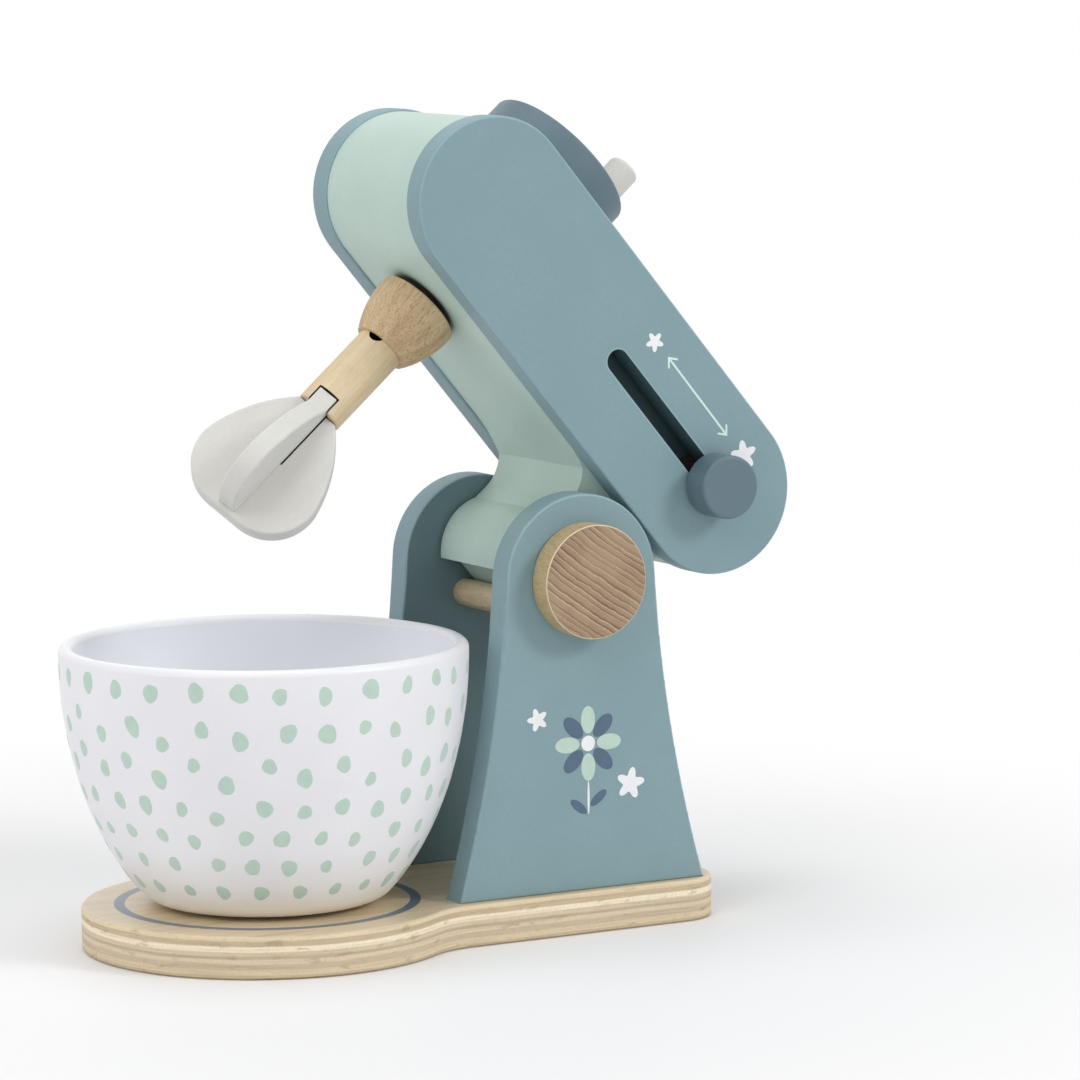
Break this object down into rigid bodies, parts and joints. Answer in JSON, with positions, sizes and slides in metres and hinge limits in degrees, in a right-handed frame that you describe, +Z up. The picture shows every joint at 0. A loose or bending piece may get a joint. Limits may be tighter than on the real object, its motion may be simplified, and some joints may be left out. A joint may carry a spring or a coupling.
{
  "type": "toy stand mixer",
  "caption": "Wooden toy stand mixer with a tilting head, hand-turned whisk, sliding side knob and a loose bowl on a round-ended plywood base.",
  "frame": {"origin": "on the underside of the base, straight below the head's tilt axis", "axes": "+Z up; the bowl and whisk lie towards -X; the side with the slot and the sliding knob faces -Y; +Y is the tilt axis"},
  "size_m": [0.2082, 0.1136, 0.2321],
  "materials": {
    "plywood": "clear lacquered birch plywood",
    "slate_paint": "satin blue-grey paint on board",
    "dark_slate_paint": "satin dark blue-grey paint on wood",
    "mint_paint": "satin mint paint on wood",
    "grey_paint": "satin light grey paint on wood",
    "bowl_paint": "satin white paint on turned wood, with mint dots",
    "beech": "clear lacquered beech",
    "maple": "clear lacquered pale hardwood",
    "screw_steel": "zinc-plated steel"
  },
  "bodies": {
    "stand": {"base_board": "plywood", "near_pillar": "slate_paint", "far_pillar": "slate_paint", "pillar_screws": "screw_steel", "stop_dowel": "beech"},
    "head": {"head_core": "mint_paint", "near_side_panel": "slate_paint", "far_side_panel": "slate_paint", "panel_dowels": "beech", "pivot_axle": "beech", "near_pivot_cap": "beech", "far_pivot_cap": "beech"},
    "whisk_drive": {"crank_disc": "dark_slate_paint", "crank_peg": "grey_paint", "drive_shaft": "beech", "whisk_socket": "beech", "whisk_shaft": "maple", "whisk_blade_a": "grey_paint", "whisk_blade_b": "grey_paint"},
    "slider": {"slider_knob": "dark_slate_paint", "slider_stem": "dark_slate_paint", "slider_retainer": "beech"},
    "bowl": {"bowl": "bowl_paint"}
  },
  "joints": [
    {"name": "head_tilt", "type": "hinge", "parent": "stand", "child": "head", "pos_m": [0, 0, 0.1], "axis": [0, -1, 0], "range_deg": [0, 50]},
    {"name": "crank_spin", "type": "hinge", "parent": "head", "child": "whisk_drive", "pos_m": [-0.01335, 0, 0.19167], "axis": [0.7536, 0, 0.6574], "continuous": true},
    {"name": "slider_slide", "type": "slide", "parent": "head", "child": "slider", "axis": [-0.6428, 0, 0.766], "range_m": [0, 0.0474]},
    {"name": "bowl_lift", "type": "slide", "parent": "stand", "child": "bowl", "axis": [0, 0, 1], "range_m": [0, 0.02]}
  ]
}
